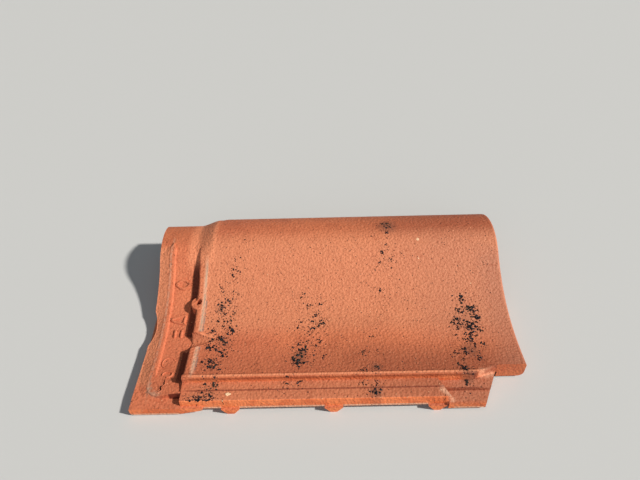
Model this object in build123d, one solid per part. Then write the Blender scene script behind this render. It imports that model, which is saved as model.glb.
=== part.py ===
from build123d import *
import math
import os

# Interlocking S-shaped clay roof tile, mm, +Z up.
# X runs along the length, head (upper end) at -X and foot at +X.
# Y runs across, side lock at -Y and roll with its cover flange at +Y.
# Sizes across are measured from the outer face of the lock, heights from the floor.

# overall sizes
length = 368.5
cover_width = 202.0     # spacing of the tiles in a course
body_wall = 12.0
head_wall = 9.5
under_gap = 1.2         # feet, nib and toe hold the rest this far off the floor

# wave section
pan_y = 72.0            # lowest line of the pan
crest_y = 187.5         # highest line of the roll
wave_depth = 36.5       # pan to crest
roll_radius = 53.0      # pan side of the roll
flange_radius = 57.0    # far side of the roll
side_radius = 260.0     # rise of the pan towards the lock

# the head part lies lower than the body, so that the next course fits over it
head_bow = 2.5          # its two corners reach out past the rest of the head edge
head_bow_y = 60.0
head_bow_far_y = 150.0
head_arris = 3.5        # rounding below the head edge
head_step = 8.0
ledge_from_head = 44.5
step_overlap = 14.0
base_before = 3.0       # the underside begins to rise this far before the ledge
base_rise_long = 23.0

# side lock: an outer seat, an inner seat, then the edge that keeps water in the pan
lock_setback = 2.4      # the body's outer face, behind the head block's
lock_draft = 1.0
outer_seat_y = 13.0
inner_seat_y = 22.0
outer_seat_z = 17.5
seat_step = 1.1
lock_under_z = 6.4
bead_width = 6.0
bead_height = 1.2
lock_arris = 1.5        # rounding of the outer edge
step_arris = 0.4

# cover flange
lip_width = 6.0
lip_gap = 0.4           # clearance of the lip over the next tile's pan
bead_gap = 2.2          # clearance over the next tile's bead
flange_rib_width = 11.0
flange_rib_gap = 1.2    # clearance of the rib over the next tile's outer seat
flange_rib_setback = 40.0
flange_rib_end = 12.0
head_cut_y = 217.0      # the flange is left out beside the head part
head_cut_skew = 14.0

# ledge bead across the tile, where the body rises from the head part
ledge_bead_width = 14.0
ledge_bead_fall = 6.5   # its slope into the pan
ledge_bead_height = 1.8
ledge_near_y = 23.0
ledge_fall_y0 = 138.0   # the bead sinks into the wave between these two lines
ledge_fall_y1 = 165.0
ledge_sunk = 6.0
ledge_fade_y0 = 138.0   # from here to the crest the ledge fades into a ramp
ledge_fade_y1 = 178.0
ramp_before = 11.0      # the ramp begins on the head part and ends on the body
ramp_after = 19.0

# drain between the two halves of the ledge
drain_y0 = 62.0
drain_y1 = 78.0
drain_long = 27.0

# nail hole
nail_d = 6.5
nail_y = 113.0
nail_from_ledge = 2.6
boss_d = 17.0
boss_rise = 0.3
boss_arris = 1.2

# head rib
rib_from_head = 9.8
rib_width = 6.5
rib_height = 2.0
rib_root = 5.0          # how deep the rib is let into the head part
rib_arris = 1.4
rib_corner_radius = 13.0
rib_far_y = 181.0

# near corner of the head floor, which slopes down towards the corner of the rib
floor_y = 11.5          # lock side of the head floor
fall_low_z = 12.2       # its height at the corner
fall_high_z = 17.2      # and at the ledge
fall_far_y = 45.0       # where the slope runs out into the rib
fall_far_z = 14.3

# hanging nib below the head edge
nib_y0 = 68.0
nib_y1 = 112.0
nib_deep = 15.0
nib_bevel = 4.5
bevel_deep = 4.0

# feet below the lock
foot_wide = 6.0
foot_flare = 5.5
foot_deep = 9.0
foot_spacing = 94.5
foot_arris = 2.0
first_foot = 45.5       # from the ledge

# the lock is cut back at the foot of the tile, and its last part lies lower
lock_end_from_foot = 28.0
lock_end_skew = 16.0
end_block_long = 41.0
end_under_z = 3.2
end_seat_z = 10.7
end_inner_z = 14.7
end_slant = 12.0

# foot of the tile
toe_y = 33.0            # near end of the foot
toe_z = 2.0
toe_long = 26.0
toe_radius = 6.0
foot_rounding = 3.0

# cross rib below the body, just uphill of the next tile's head
cross_rib_from_foot = 56.0
cross_rib_width = 7.0
cross_rib_height = 4.0
cross_rib_y0 = 44.0
cross_rib_y1 = 168.0
cross_rib_kink = 5.0
swing_long = 8.0

# two grooves below the head part
groove_from_head = 18.0
groove_spacing = 9.0
groove_wide = 4.0
groove_deep = 1.3
groove_y0 = 30.0

os.makedirs("parts", exist_ok=True)

# derived sizes
corner_x = -length / 2
head_x = corner_x + head_bow
foot_x = length / 2
ledge_x = head_x + ledge_from_head
head_pan_z = under_gap + head_wall
body_pan_z = head_pan_z + head_step
span = crest_y - pan_y
radius_sum = (span ** 2 + wave_depth ** 2) / (2 * wave_depth)
pan_radius = radius_sum - roll_radius     # the pan arc is tangent to the roll arc
turn = math.asin(span / radius_sum)       # slope where the two arcs meet
bead_y = inner_seat_y + bead_width


def height(pan_z, y, lift=0.0):
    """Height of the wave at y, lifted along its normal."""
    if y < pan_y:
        return pan_z + side_radius - math.sqrt((side_radius - lift) ** 2 - (pan_y - y) ** 2)
    if y > crest_y:
        return pan_z + wave_depth - flange_radius + math.sqrt((flange_radius + lift) ** 2 - (y - crest_y) ** 2)
    if y - pan_y < (pan_radius - lift) * math.sin(turn):
        return pan_z + pan_radius - math.sqrt((pan_radius - lift) ** 2 - (y - pan_y) ** 2)
    return pan_z + wave_depth - roll_radius + math.sqrt((roll_radius + lift) ** 2 - (y - crest_y) ** 2)


lip_z = height(body_pan_z, bead_y + lip_width) + lip_gap
lip_reach = math.sqrt(flange_radius ** 2 - (lip_z - body_pan_z - wave_depth + flange_radius) ** 2)
width = crest_y + lip_reach
edge_z = height(body_pan_z, inner_seat_y) + bead_height
over_bead_z = edge_z + bead_gap


def on_arc(centre, radius, angle):
    """Point on a circle, the angle measured from straight up."""
    return (centre[0] + radius * math.sin(angle), centre[1] + radius * math.cos(angle))


def arc_between(centre, radius, a0, a1):
    """Arc of a circle between two angles measured from straight up."""
    return ThreePointArc(
        on_arc(centre, radius, a0),
        on_arc(centre, radius, (a0 + a1) / 2),
        on_arc(centre, radius, a1),
    )


def wave(pan_z, y0, y1, lift=0.0):
    """Arcs of the wave from y0 on the lock's side to y1 beyond the crest, lifted along the normal."""
    side_r = side_radius - lift
    flange_r = flange_radius + lift
    flange_c = (crest_y, pan_z + wave_depth - flange_radius)
    return [
        arc_between((pan_y, pan_z + side_radius), side_r, math.pi + math.asin((pan_y - y0) / side_r), math.pi),
        arc_between((pan_y, pan_z + pan_radius), pan_radius - lift, math.pi, math.pi - turn),
        arc_between((crest_y, pan_z + wave_depth - roll_radius), roll_radius + lift, -turn, 0),
        arc_between(flange_c, flange_r, 0, math.asin((y1 - crest_y) / flange_r)),
    ]


def strip(pan_z, y0, top, bottom):
    """Closed band that follows the wave between two lifts, a little past the crest."""
    upper = wave(pan_z, y0, crest_y + 2, top)
    lower = wave(pan_z, y0, crest_y + 2, bottom)
    return make_face(upper + [Line(upper[-1] @ 1, lower[-1] @ 1)] + lower + [Line(lower[0] @ 0, upper[0] @ 0)])


def wave_section(pan_z, wall, y0, drop=0.0):
    """Closed wave with its flange lip; y0 is the near end and drop lowers the lip."""
    lip = lip_z - drop
    over_bead = over_bead_z - drop
    centre_z = pan_z + wave_depth - flange_radius
    channel_y = crest_y + math.sqrt((flange_radius - wall) ** 2 - (over_bead - centre_z) ** 2)
    rim = Polyline(
        (width, lip),
        (width - lip_width, lip),
        (width - lip_width, over_bead),
        (channel_y, over_bead),
    )
    near = Line((y0, height(pan_z, y0)), (y0, height(pan_z, y0, -wall)))
    return make_face(wave(pan_z, y0, width) + [rim] + wave(pan_z, y0, channel_y, -wall) + [near])


def along_x(face, x0, x1):
    """Extrude a section drawn in (y, z) from x0 to x1, the width centred on Y = 0."""
    return Pos(x0, -width / 2, 0) * extrude(Plane.YZ * face, x1 - x0)


def upright(face, z0=-5.0, z1=100.0):
    """Extrude an outline drawn in (x, y) upwards, the width centred on Y = 0."""
    return Pos(0, -width / 2, z0) * extrude(face, z1 - z0)


def outline(*points):
    return make_face(Polyline(*points, points[0]))


def crosswise(face, y0, y1):
    """Extrude a shape drawn in (x, z) from y0 to y1."""
    return Pos(0, y1 - width / 2, 0) * extrude(Plane.XZ * face, y1 - y0)


# body: the wave, its upper face running down to the head part as a ramp under the crest
section = wave_section(body_pan_z, body_wall, bead_y - bead_width / 2)
clear = 0.6             # the ramp starts this far inside the head part and ends this far above the body
ramp_x = ledge_x + ramp_after
fade_y = [ledge_fade_y0 + t * (ledge_fade_y1 - ledge_fade_y0) for t in (0.25, 0.5, 0.75)]
fading = [(inner_seat_y, 0), (pan_y, 0), ((pan_y + ledge_fade_y0) / 2, 0), (ledge_fade_y0, 0)]
fading += [(y, (y - ledge_fade_y0) / (ledge_fade_y1 - ledge_fade_y0)) for y in fade_y]
fading += [(y, 1) for y in (ledge_fade_y1, crest_y, crest_y + lip_reach / 3, crest_y + lip_reach / 1.5, width)]


def ramp_face(x, on_head):
    """Region under the ramp at x, or under the head floor that rises towards the ledge."""
    u = (x - ledge_x + ramp_before) / (ramp_before + ramp_after)
    rise = (head_step + 2 * clear) * u * u * (3 - 2 * u) - clear
    line = []
    for y, faded in fading:
        if on_head:
            z = height(head_pan_z, y) + (rise + clear / 2) * faded - clear * (1 - faded)
        else:
            z = height(body_pan_z, y) + (rise - head_step) * faded + clear * (1 - faded)
        line.append((y, z))
    line.append((width + clear, z - 2 * clear))
    edge = Polyline(line[-1], (line[-1][0], -5), (line[0][0], -5), line[0])
    return Plane.YZ.offset(x) * make_face([Spline(*line), edge])


def ramp_solid(x0, x1, on_head):
    """Solid under those regions between x0 and x1, drawn a little past both."""
    spots = [x0 - 0.01 + i / 4 * (x1 - x0 + 0.02) for i in range(5)]
    return Pos(0, -width / 2, 0) * loft([ramp_face(x, on_head) for x in spots])


ramp_x0 = ledge_x - ramp_before
rising = along_x(section, ramp_x0, ramp_x) & ramp_solid(ramp_x0, ramp_x, False)
over_head = upright(
    outline((ramp_x0 - clear, -1), (ledge_x, -1), (ledge_x, width + 2), (ramp_x0 - clear, width + 2))
)
rising -= over_head - ramp_solid(ramp_x0 - clear, ledge_x, True)
body = along_x(section, ramp_x, foot_x) + rising

# lock beside the pan: outer seat, inner seat and the rounded edge of the pan
lock = make_face(
    [
        Polyline(
            (lock_setback, lock_under_z),
            (lock_setback + lock_draft, outer_seat_z),
            (outer_seat_y, outer_seat_z),
            (outer_seat_y + 0.5, outer_seat_z + seat_step),
            (inner_seat_y, outer_seat_z + seat_step),
            (inner_seat_y + 0.4, edge_z - bead_height),
        ),
        ThreePointArc(
            (inner_seat_y + 0.4, edge_z - bead_height),
            (inner_seat_y + 0.3 * bead_width, edge_z),
            (bead_y, height(body_pan_z, bead_y)),
        ),
        Polyline(
            (bead_y, height(body_pan_z, bead_y)),
            (bead_y + 4, height(body_pan_z, bead_y + 4, -body_wall / 2)),
            (bead_y + 2, lock_under_z),
            (lock_setback, lock_under_z),
        ),
    ]
)
step_corners = [v for v in lock.vertices() if v.Y > outer_seat_z - 0.01 and abs(v.X - outer_seat_y) < 1]
outer_corner = [v for v in lock.vertices() if v.Y > outer_seat_z - 0.01 and v.X < lock_setback + 2 * lock_draft]
lock = fillet(fillet(step_corners, step_arris).vertices().sort_by_distance(outer_corner[0])[0], lock_arris)
body += along_x(lock, ledge_x, foot_x)

# head part: thinner and lower, with its outer seat stepped down once more
head_end = ledge_x + step_overlap
head = along_x(wave_section(head_pan_z, head_wall, floor_y, head_step), corner_x, head_end)
base_x0 = ledge_x - base_before
base_slope = (lock_under_z + 0.5 - under_gap) / base_rise_long
for y0, y1, x1, z1 in (
    (0, floor_y, base_x0 + base_rise_long, head_pan_z),
    (floor_y, pan_y, head_end, head_pan_z - 1),
):
    side = outline(
        (corner_x, under_gap),
        (base_x0, under_gap),
        (x1, under_gap + base_slope * (x1 - base_x0)),
        (x1, z1),
        (corner_x, z1),
    )
    base = crosswise(side, y0, y1)
    head += fillet(base.edges().filter_by(Axis.Y).group_by(Axis.X)[0].sort_by(Axis.Z)[0], head_arris)
head -= upright(
    outline(
        (corner_x - 1, -1),
        (corner_x - head_bow / head_bow_y, -1),
        (head_x, head_bow_y),
        (head_x, head_bow_far_y),
        (corner_x, head_cut_y),
        (corner_x, width + 1),
        (corner_x - 1, width + 1),
    )
)
under_seat = outline((ledge_x, -1), (head_end + 1, -1), (head_end + 1, inner_seat_y), (ledge_x, inner_seat_y))
head -= upright(under_seat, outer_seat_z - 1)
tile = body + head

# ledge bead, which tapers out under the crest
bead = along_x(strip(body_pan_z, ledge_near_y, ledge_bead_height, -ledge_sunk), ledge_x, ledge_x + ledge_bead_width)
top_radii = (pan_radius - ledge_bead_height, roll_radius + ledge_bead_height, side_radius - ledge_bead_height)
crown = [e for e in bead.edges().filter_by(GeomType.CIRCLE) if min(abs(e.radius - r) for r in top_radii) < 0.01]
bead = fillet([e for e in crown if e.center().X < ledge_x + 1], ledge_bead_height + 1.2)
crown = [e for e in bead.edges().filter_by(GeomType.CIRCLE) if min(abs(e.radius - r) for r in top_radii) < 0.01]
far_crown = [e for e in crown if e.center().X > ledge_x + ledge_bead_width - 1]
side = bead.faces().sort_by(Axis.X)[-1]
bead = chamfer(far_crown, ledge_bead_height, ledge_bead_fall, reference=side)
bead_limit = outline(
    (ledge_near_y - 1, 0),
    (ledge_near_y - 1, 60),
    (ledge_fall_y0, height(body_pan_z, ledge_fall_y0) + ledge_bead_height),
    (ledge_fall_y1, height(body_pan_z, ledge_fall_y1) - ledge_sunk),
    (ledge_fall_y1, 0),
)
tile += bead & along_x(bead_limit, ledge_x - 1, ledge_x + ledge_bead_width + 1)

# drain through the ledge, a round valley that rises and narrows to a point on the pan
drain_mid = (drain_y0 + drain_y1) / 2
drain_top = body_pan_z + head_step
drain_floor_z = head_pan_z + 0.8
drain_profile = [
    (drain_y0 - 9, drain_top),
    (drain_y0 - 2, drain_floor_z + 6),
    (drain_y0 + 4, drain_floor_z + 1),
    (drain_mid + 2, drain_floor_z),
    (drain_y1 - 2, drain_floor_z + 3),
    (drain_y1 + 2, drain_top),
]


def valley(x, scale):
    """Section of the drain at x, shrunk towards its point on the pan."""
    points = [(drain_mid + scale * (y - drain_mid), body_pan_z + scale * (z - body_pan_z)) for y, z in drain_profile]
    return Plane.YZ.offset(x) * make_face([Spline(*points), Line(points[-1], points[0])])


tile -= Pos(0, -width / 2, 0) * loft([valley(ledge_x - 1, 1.0), valley(ledge_x + drain_long, 0.03)], ruled=True)

# rib along the head edge, turning round a corner into the step of the lock
rib_x = head_x + rib_from_head
corner_in = rib_corner_radius - rib_width
diagonal = math.sqrt(0.5)
corner_c = (rib_x + rib_corner_radius, floor_y + rib_corner_radius)
corner_line = ThreePointArc(
    (rib_x, corner_c[1]),
    (corner_c[0] - rib_corner_radius * diagonal, corner_c[1] - rib_corner_radius * diagonal),
    (corner_c[0], floor_y),
)
rib_plan = make_face(
    [
        corner_line,
        Line((corner_c[0], floor_y), (corner_c[0], floor_y + rib_width)),
        ThreePointArc(
            (corner_c[0], floor_y + rib_width),
            (corner_c[0] - corner_in * diagonal, corner_c[1] - corner_in * diagonal),
            (rib_x + rib_width, corner_c[1]),
        ),
        Polyline(
            (rib_x + rib_width, corner_c[1]),
            (rib_x + rib_width, rib_far_y - rib_width),
            (rib_x + rib_width / 2, rib_far_y),
            (rib_x, rib_far_y - rib_width),
            (rib_x, corner_c[1]),
        ),
    ]
)
rib = along_x(strip(head_pan_z, floor_y, rib_height, -rib_root), head_x, ledge_x) & upright(rib_plan)
rib_top = [
    e
    for e in rib.edges()
    if e.center().X < corner_c[0] - 0.1
    and e.center().Z > height(head_pan_z, e.center().Y + width / 2) + rib_height - 0.6
]
tile += fillet(rib_top, rib_arris)

# outside the rib the near part of the head edge is as low as its corner
corner = make_face(
    [
        corner_line,
        Polyline(
            (corner_c[0], floor_y),
            (corner_x - 1, floor_y),
            (corner_x - 1, pan_y),
            (rib_x, pan_y),
            (rib_x, corner_c[1]),
        ),
    ]
)
tile -= upright(corner, head_pan_z)

# the floor inside the corner slopes down to it
low = Vector(rib_x, floor_y - width / 2, fall_low_z)
along = Vector(ledge_x, floor_y - width / 2, fall_high_z) - low
across = Vector(rib_x, fall_far_y - width / 2, fall_far_z) - low
above_fall = Plane(low, x_dir=along, z_dir=along.cross(across)) * Box(
    200, 200, 50, align=(Align.CENTER, Align.CENTER, Align.MIN)
)
tile -= above_fall & upright(
    outline((corner_x - 1, -1), (ledge_x, -1), (ledge_x, fall_far_y + 15), (corner_x - 1, fall_far_y + 15)), 5
)

# flange rib, resting on the next tile's outer seat, its ends chamfered
rib_y = cover_width + lock_setback + lock_draft
rib_z = outer_seat_z + flange_rib_gap
rib_x0 = ledge_x + flange_rib_setback
rib_x1 = foot_x - toe_long
root_z = height(body_pan_z, rib_y, -body_wall) + 2
flange_rib = outline(
    (rib_x0, rib_z + flange_rib_end),
    (rib_x0 + flange_rib_end, rib_z),
    (rib_x1 - flange_rib_end, rib_z),
    (rib_x1, rib_z + flange_rib_end),
    (rib_x1, root_z),
    (rib_x0, root_z),
)
tile += crosswise(flange_rib, rib_y, rib_y + flange_rib_width)

# beside the head part the flange is left out, so that four tiles can meet
tile -= upright(
    outline(
        (corner_x - 1, head_cut_y),
        (ramp_x, head_cut_y),
        (ramp_x + head_cut_skew, width + 1),
        (corner_x - 1, width + 1),
    )
)

# hanging nib, with the edge above it bevelled
tile += upright(
    outline((head_x, nib_y0), (head_x + nib_deep, nib_y0 + 3), (head_x + nib_deep, nib_y1 - 3), (head_x, nib_y1)),
    0,
    head_pan_z,
)
tile -= upright(
    make_face(
        [
            ThreePointArc(
                (head_x - 1, nib_y0),
                (head_x + nib_bevel, (nib_y0 + nib_y1) / 2),
                (head_x - 1, nib_y1),
            ),
            Line((head_x - 1, nib_y1), (head_x - 1, nib_y0)),
        ]
    ),
    head_pan_z - bevel_deep,
)

# nail hole in its round boss
nail = Pos(ledge_x + nail_from_ledge, nail_y - width / 2)
boss_z = head_step + 2
boss_top = height(body_pan_z, nail_y) + boss_rise
boss = Pos(0, 0, boss_z) * Cylinder(boss_d / 2, boss_top - boss_z, align=(Align.CENTER, Align.CENTER, Align.MIN))
tile += nail * fillet(boss.edges().filter_by(GeomType.CIRCLE).sort_by(Axis.Z)[-1], boss_arris)
tile -= nail * Cylinder(nail_d / 2, 200.0)

# feet below the lock
foot_half = foot_wide / 2
foot_face = outline(
    (-foot_half, 0),
    (foot_half, 0),
    (foot_half + foot_flare, lock_under_z + 1),
    (-foot_half - foot_flare, lock_under_z + 1),
)
foot_face = fillet(foot_face.vertices().group_by(Axis.Y)[0], foot_arris)
for i in range(3):
    tile += Pos(ledge_x + first_foot + i * foot_spacing, 0, 0) * crosswise(foot_face, 0, foot_deep)

# toe under the pan at the foot
toe_y1 = crest_y - span / 2
toe = outline(
    (toe_y, body_pan_z - 1),
    (toe_y, toe_z),
    (toe_y1 - toe_long / 2, toe_z),
    (toe_y1, height(body_pan_z, toe_y1, -body_wall) + 2),
    (pan_y, body_pan_z - 2),
)
toe_solid = along_x(toe, foot_x - toe_long, foot_x)
toe_low = toe_solid.edges().filter_by(Axis.Y).sort_by(Axis.Z)[:2].sort_by(Axis.X)[-1]
tile += fillet(toe_low, toe_radius)

# cross rib below the body
cross_x = foot_x - cross_rib_from_foot
kink_y = (cross_rib_y0 + cross_rib_y1) / 2
cross_plan = outline(
    (cross_x, cross_rib_y0),
    (cross_x, kink_y - 2 * cross_rib_kink),
    (cross_x + cross_rib_kink, kink_y),
    (cross_x, kink_y + 2 * cross_rib_kink),
    (cross_x, cross_rib_y1),
    (cross_x + cross_rib_width, cross_rib_y1),
    (cross_x + cross_rib_width, kink_y + 2 * cross_rib_kink),
    (cross_x + cross_rib_width + cross_rib_kink, kink_y),
    (cross_x + cross_rib_width, kink_y - 2 * cross_rib_kink),
    (cross_x + cross_rib_width, cross_rib_y0),
)
cross_rib = strip(body_pan_z, inner_seat_y, -body_wall + 1, -body_wall - cross_rib_height)
tile += along_x(cross_rib, cross_x - 1, cross_x + cross_rib_width + cross_rib_kink + 1) & upright(cross_plan)

# two grooves below the head part
for i in range(2):
    groove_x = head_x + groove_from_head + i * groove_spacing
    groove = strip(head_pan_z, groove_y0, -head_wall + groove_deep, -head_wall - 3)
    tile -= along_x(groove, groove_x, groove_x + groove_wide)

# lower end block of the lock, its seats cut on a slant
lock_end = foot_x - lock_end_from_foot
block_x = lock_end - lock_end_skew - end_block_long + end_slant
slant_x = block_x - end_slant * outer_seat_y / inner_seat_y
block_y = inner_seat_y + 4
end_block = Pos(block_y / 2, (end_under_z + end_seat_z) / 2) * Rectangle(block_y, end_seat_z - end_under_z)
tile += along_x(end_block, block_x - 4, lock_end + 3)
tile -= upright(
    outline((block_x, -1), (slant_x, outer_seat_y), (foot_x + 1, outer_seat_y), (foot_x + 1, -1)),
    end_seat_z,
)
tile -= upright(
    outline(
        (slant_x, outer_seat_y - 0.01),
        (block_x - end_slant, inner_seat_y),
        (foot_x + 1, inner_seat_y),
        (foot_x + 1, outer_seat_y - 0.01),
    ),
    end_inner_z,
)

# skewed end of the lock, and the near edge of the body swinging back to the toe
end_x = lock_end - lock_end_skew
tile -= upright(outline((end_x, -1), (lock_end, toe_y), (foot_x + 1, toe_y), (foot_x + 1, -1)))
tile -= upright(
    outline(
        (end_x - swing_long, inner_seat_y - 1),
        (end_x - swing_long, inner_seat_y),
        (lock_end - 2, toe_y),
        (lock_end + 4, toe_y),
        (lock_end + 4, inner_seat_y - 1),
    ),
    end_inner_z,
)

tile = tile.solids().sort_by(SortBy.VOLUME)[-1]

# round the upper arris of the foot
wave_radii = (pan_radius, roll_radius, side_radius, flange_radius)
arris = [
    e
    for e in tile.edges().filter_by(GeomType.CIRCLE)
    if abs(e.center().X - foot_x) < 0.01 and min(abs(e.radius - r) for r in wave_radii) < 0.01
]
tile = fillet(arris, foot_rounding)

export_step(tile, "parts/tile.step")
print("width", width, "volume cm3", tile.volume / 1000, "kg", tile.volume * 2.05e-6)
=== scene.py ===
"""Looks of an S-shaped interlocking clay roof tile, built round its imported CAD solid.

Run as a script inside Blender. The scene is in metres. Numbers are in mm where nothing else is said, with x
along the tile from head to foot, y across it from the lock's outer face, and z up from the floor.
"""

import bpy
import numpy as np
from mathutils import Matrix, Vector
from mathutils.bvhtree import BVHTree


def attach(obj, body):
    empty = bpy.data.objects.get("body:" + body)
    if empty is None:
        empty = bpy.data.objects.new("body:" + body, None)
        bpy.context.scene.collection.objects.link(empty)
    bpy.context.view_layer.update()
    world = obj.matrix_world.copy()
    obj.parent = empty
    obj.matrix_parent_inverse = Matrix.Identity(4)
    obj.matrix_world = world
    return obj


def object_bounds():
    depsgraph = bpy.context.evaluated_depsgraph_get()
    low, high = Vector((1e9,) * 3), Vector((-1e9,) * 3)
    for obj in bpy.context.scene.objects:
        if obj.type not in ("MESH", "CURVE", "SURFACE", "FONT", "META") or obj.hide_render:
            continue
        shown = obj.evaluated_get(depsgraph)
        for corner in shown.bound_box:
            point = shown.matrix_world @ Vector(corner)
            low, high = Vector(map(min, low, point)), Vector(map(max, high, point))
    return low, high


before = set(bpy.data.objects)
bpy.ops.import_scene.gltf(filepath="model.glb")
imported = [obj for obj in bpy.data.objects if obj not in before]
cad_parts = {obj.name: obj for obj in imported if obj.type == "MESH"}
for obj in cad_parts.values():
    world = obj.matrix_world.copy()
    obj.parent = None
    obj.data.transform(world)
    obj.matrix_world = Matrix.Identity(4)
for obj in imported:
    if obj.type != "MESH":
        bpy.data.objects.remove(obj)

bl_info = {
    "name": "Clay roof tile",
    "version": (1, 0, 0),
    "blender": (4, 5, 0),
    "location": "View3D > Sidebar > Roof Tile",
    "description": "Adds the finish, relief and weathering of a pressed clay roof tile",
    "category": "Object",
}

MM = 0.001
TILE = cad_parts["tile"]
CAD_LOW, CAD_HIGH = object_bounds()
LOW, HIGH = np.array(CAD_LOW), np.array(CAD_HIGH)

# landmarks of the tile in mm, as in the CAD source
LOCK_Y = LOW[1] / MM
HEAD_X = LOW[0] / MM + 2.5
FOOT_X = HIGH[0] / MM
CREST_Z = HIGH[2] / MM
LEDGE_X = HEAD_X + 44.5
NAIL_X, NAIL_Y = LEDGE_X + 2.6, 113.0
RIB_X = HEAD_X + 9.8
RIB_WIDTH = 5.9
FLOOR_Y = 11.5
RIB_CORNER_R = 13.0
DRAIN_Y0, DRAIN_Y1 = 62.0, 78.0
FIRST_FOOT, FOOT_SPACING = 45.5, 94.5

# the photograph's camera: focal length in pixels, its yaw, pitch below the horizon and roll, and its place
PHOTO_WIDTH = 640
SENSOR_WIDTH = 36.0
CAMERA_F = 531.32
CAMERA_ANGLES = np.radians([-0.71, 43.38, 1.75])
CAMERA_POS = np.array([-2.21, -246.2, 450.26])
# where the lamps stand, as directions from the tile
KEY_FROM = (0.760, -0.209, 0.616)
FILL_FROM = (-0.1, -0.93, 0.36)

# patches of lichen and soot on the photographed tile: x, y and width;
# they lie in four drifts, each narrower towards the crest
DRIFTS = (
    (
        (-90, 176, 1), (-93, 157, 1), (-101, 145, 2), (-96, 145, 2), (-101, 141, 2), (-112, 128, 2),
        (-110, 124, 2), (-99, 124, 2), (-93, 121, 1), (-106, 114, 3), (-101, 112, 3), (-111, 107, 5),
        (-99, 101, 3), (-106, 98, 2), (-113, 92, 3), (-102, 92, 3), (-107, 85, 2), (-116, 80, 4),
        (-98, 80, 5), (-109, 71, 5), (-117, 70, 3), (-103, 66, 4), (-118, 60, 5), (-110, 60, 4),
        (-98, 59, 2), (-103, 53, 5), (-121, 43, 3), (-112, 44, 5), (-112, 36, 5), (-104, 33, 2),
        (-107, 23, 2), (-107, 20, 4), (-116, 20, 2), (-111, 15, 2), (-110, 8, 4), (-117, 7, 4),
        (-111, 3, 2), (-129, 4, 3), (-119, 5, 4), (-124, 8, 2),
    ),
    (
        (-27, 119, 2), (-22, 107, 3), (-9, 108, 3), (-11, 100, 2), (-14, 97, 3), (-18, 89, 2),
        (-9, 87, 3), (-5, 87, 4), (-29, 89, 2), (-31, 83, 2), (-12, 83, 3), (-17, 80, 3), (-19, 76, 3),
        (-2, 73, 2), (-9, 66, 3), (-21, 65, 2), (-29, 62, 3), (-15, 60, 3), (-35, 57, 2), (-27, 54, 5),
        (-31, 43, 7), (-14, 48, 2), (-6, 46, 2), (-29, 33, 1), (-40, 20, 3), (-30, 19, 3), (-43, 15, 1),
        (-21, 11, 1),
    ),
    (
        (67, 198, 3), (67, 190, 4), (66, 182, 3), (63, 196, 2), (49, 177, 1), (65, 167, 2), (59, 159, 3),
        (56, 150, 2), (67, 152, 2), (69, 144, 1), (51, 143, 1), (35, 131, 1), (55, 122, 3), (42, 69, 2),
        (31, 51, 3), (46, 53, 2), (32, 31, 3), (44, 33, 3), (32, 18, 3), (42, 20, 3), (41, 9, 5),
    ),
    (
        (138, 113, 5), (132, 99, 4), (142, 100, 5), (149, 100, 5), (150, 90, 5), (126, 86, 3),
        (131, 86, 5), (136, 86, 3), (144, 79, 7), (128, 78, 3), (140, 72, 5), (137, 64, 5), (149, 76, 3),
        (125, 70, 2), (141, 58, 3), (149, 58, 3), (131, 50, 5), (121, 50, 3), (127, 40, 3), (143, 41, 4),
        (121, 34, 3), (126, 30, 5), (126, 20, 4),
    ),
)
# soft grey stains in the drifts: x, y, radius, and how strong they are
STAINS = (
    (67, 192, 15, 0.45), (-30, 45, 11, 0.45), (-27, 52, 8, 0.35), (136, 52, 12, 0.35), (127, 24, 10, 0.4),
    (42, 8, 9, 0.4), (43, 32, 9, 0.3), (-112, 106, 8, 0.3), (-104, 66, 10, 0.2), (140, 88, 16, 0.15),
)
# rubbed pale places at the end of the lock, and a painted sheen where the bead meets the foot (the last
# three), in the same form
RUBBED_AND_SHEEN_PLACES = (
    (102.5, 10.5, 5, 0.5), (105, 8.2, 4.5, 0.6), (108, 5.8, 4.5, 0.6), (110.5, 3.8, 4, 0.6),
    (146, 26, 5, 0.5), (150.5, 27.5, 5, 0.5), (140.5, 26.2, 5, 0.45),
)
# pale spots where a lime grain burst the surface: x, y, width
LIME_SPOTS = (
    (98, 172.5, 3.6), (97.5, 153, 2.4), (-93, 10.5, 4.7), (99.5, 15.5, 1.6), (101, 10.5, 1.6),
    (150, 128, 1.8), (-92, 3.6, 1.4), (-97.5, 3.4, 1.2), (-64, 141, 1.5), (-8, 4.0, 1.2), (45, 3.8, 1.0),
    (112, 5.5, 1.2),
)
# paths of the cracks as x and y, and the width at each of their points
FIRING_CRACK = (
    (-156.2, 28.5), (-155.4, 26.2), (-155.9, 24.6), (-155.3, 23.1), (-156.8, 21.6), (-158.3, 20.9),
    (-158.0, 18.6), (-157.2, 17.4), (-158.8, 16.3), (-160.9, 15.6), (-162.2, 14.6),
)
FIRING_CRACK_WIDTH = (0.2, 0.9, 1.5, 1.3, 0.5, 1.4, 1.6, 1.2, 0.7, 0.5, 0.15)
END_CRACK = ((104.4, 6.5), (103.4, 4.6), (103.8, 3.6), (102.9, 2.9))
END_CRACK_WIDTH = (0.2, 0.7, 0.5, 0.8)
NUB_CRACK = ((-98.6, 5.0), (-97.6, 4.2), (-97.9, 3.5), (-97.0, 2.9))
NUB_CRACK_WIDTH = (0.2, 0.7, 0.9, 0.6)

# strokes of three plain marks in a cell one unit high and 0.6 wide, each a row of points (across, up)
MARKS = {
    "diamond": (((0.3, 0.0), (0.02, 0.5), (0.3, 1.0), (0.58, 0.5), (0.3, 0.0)),),
    "triangle": (((0.0, 0.1), (0.3, 0.95), (0.6, 0.1), (0.3, 0.06), (0.0, 0.1)),),
    "bars": (((-0.02, 0.25), (0.62, 0.25)), ((-0.02, 0.7), (0.62, 0.7))),
}
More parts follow.
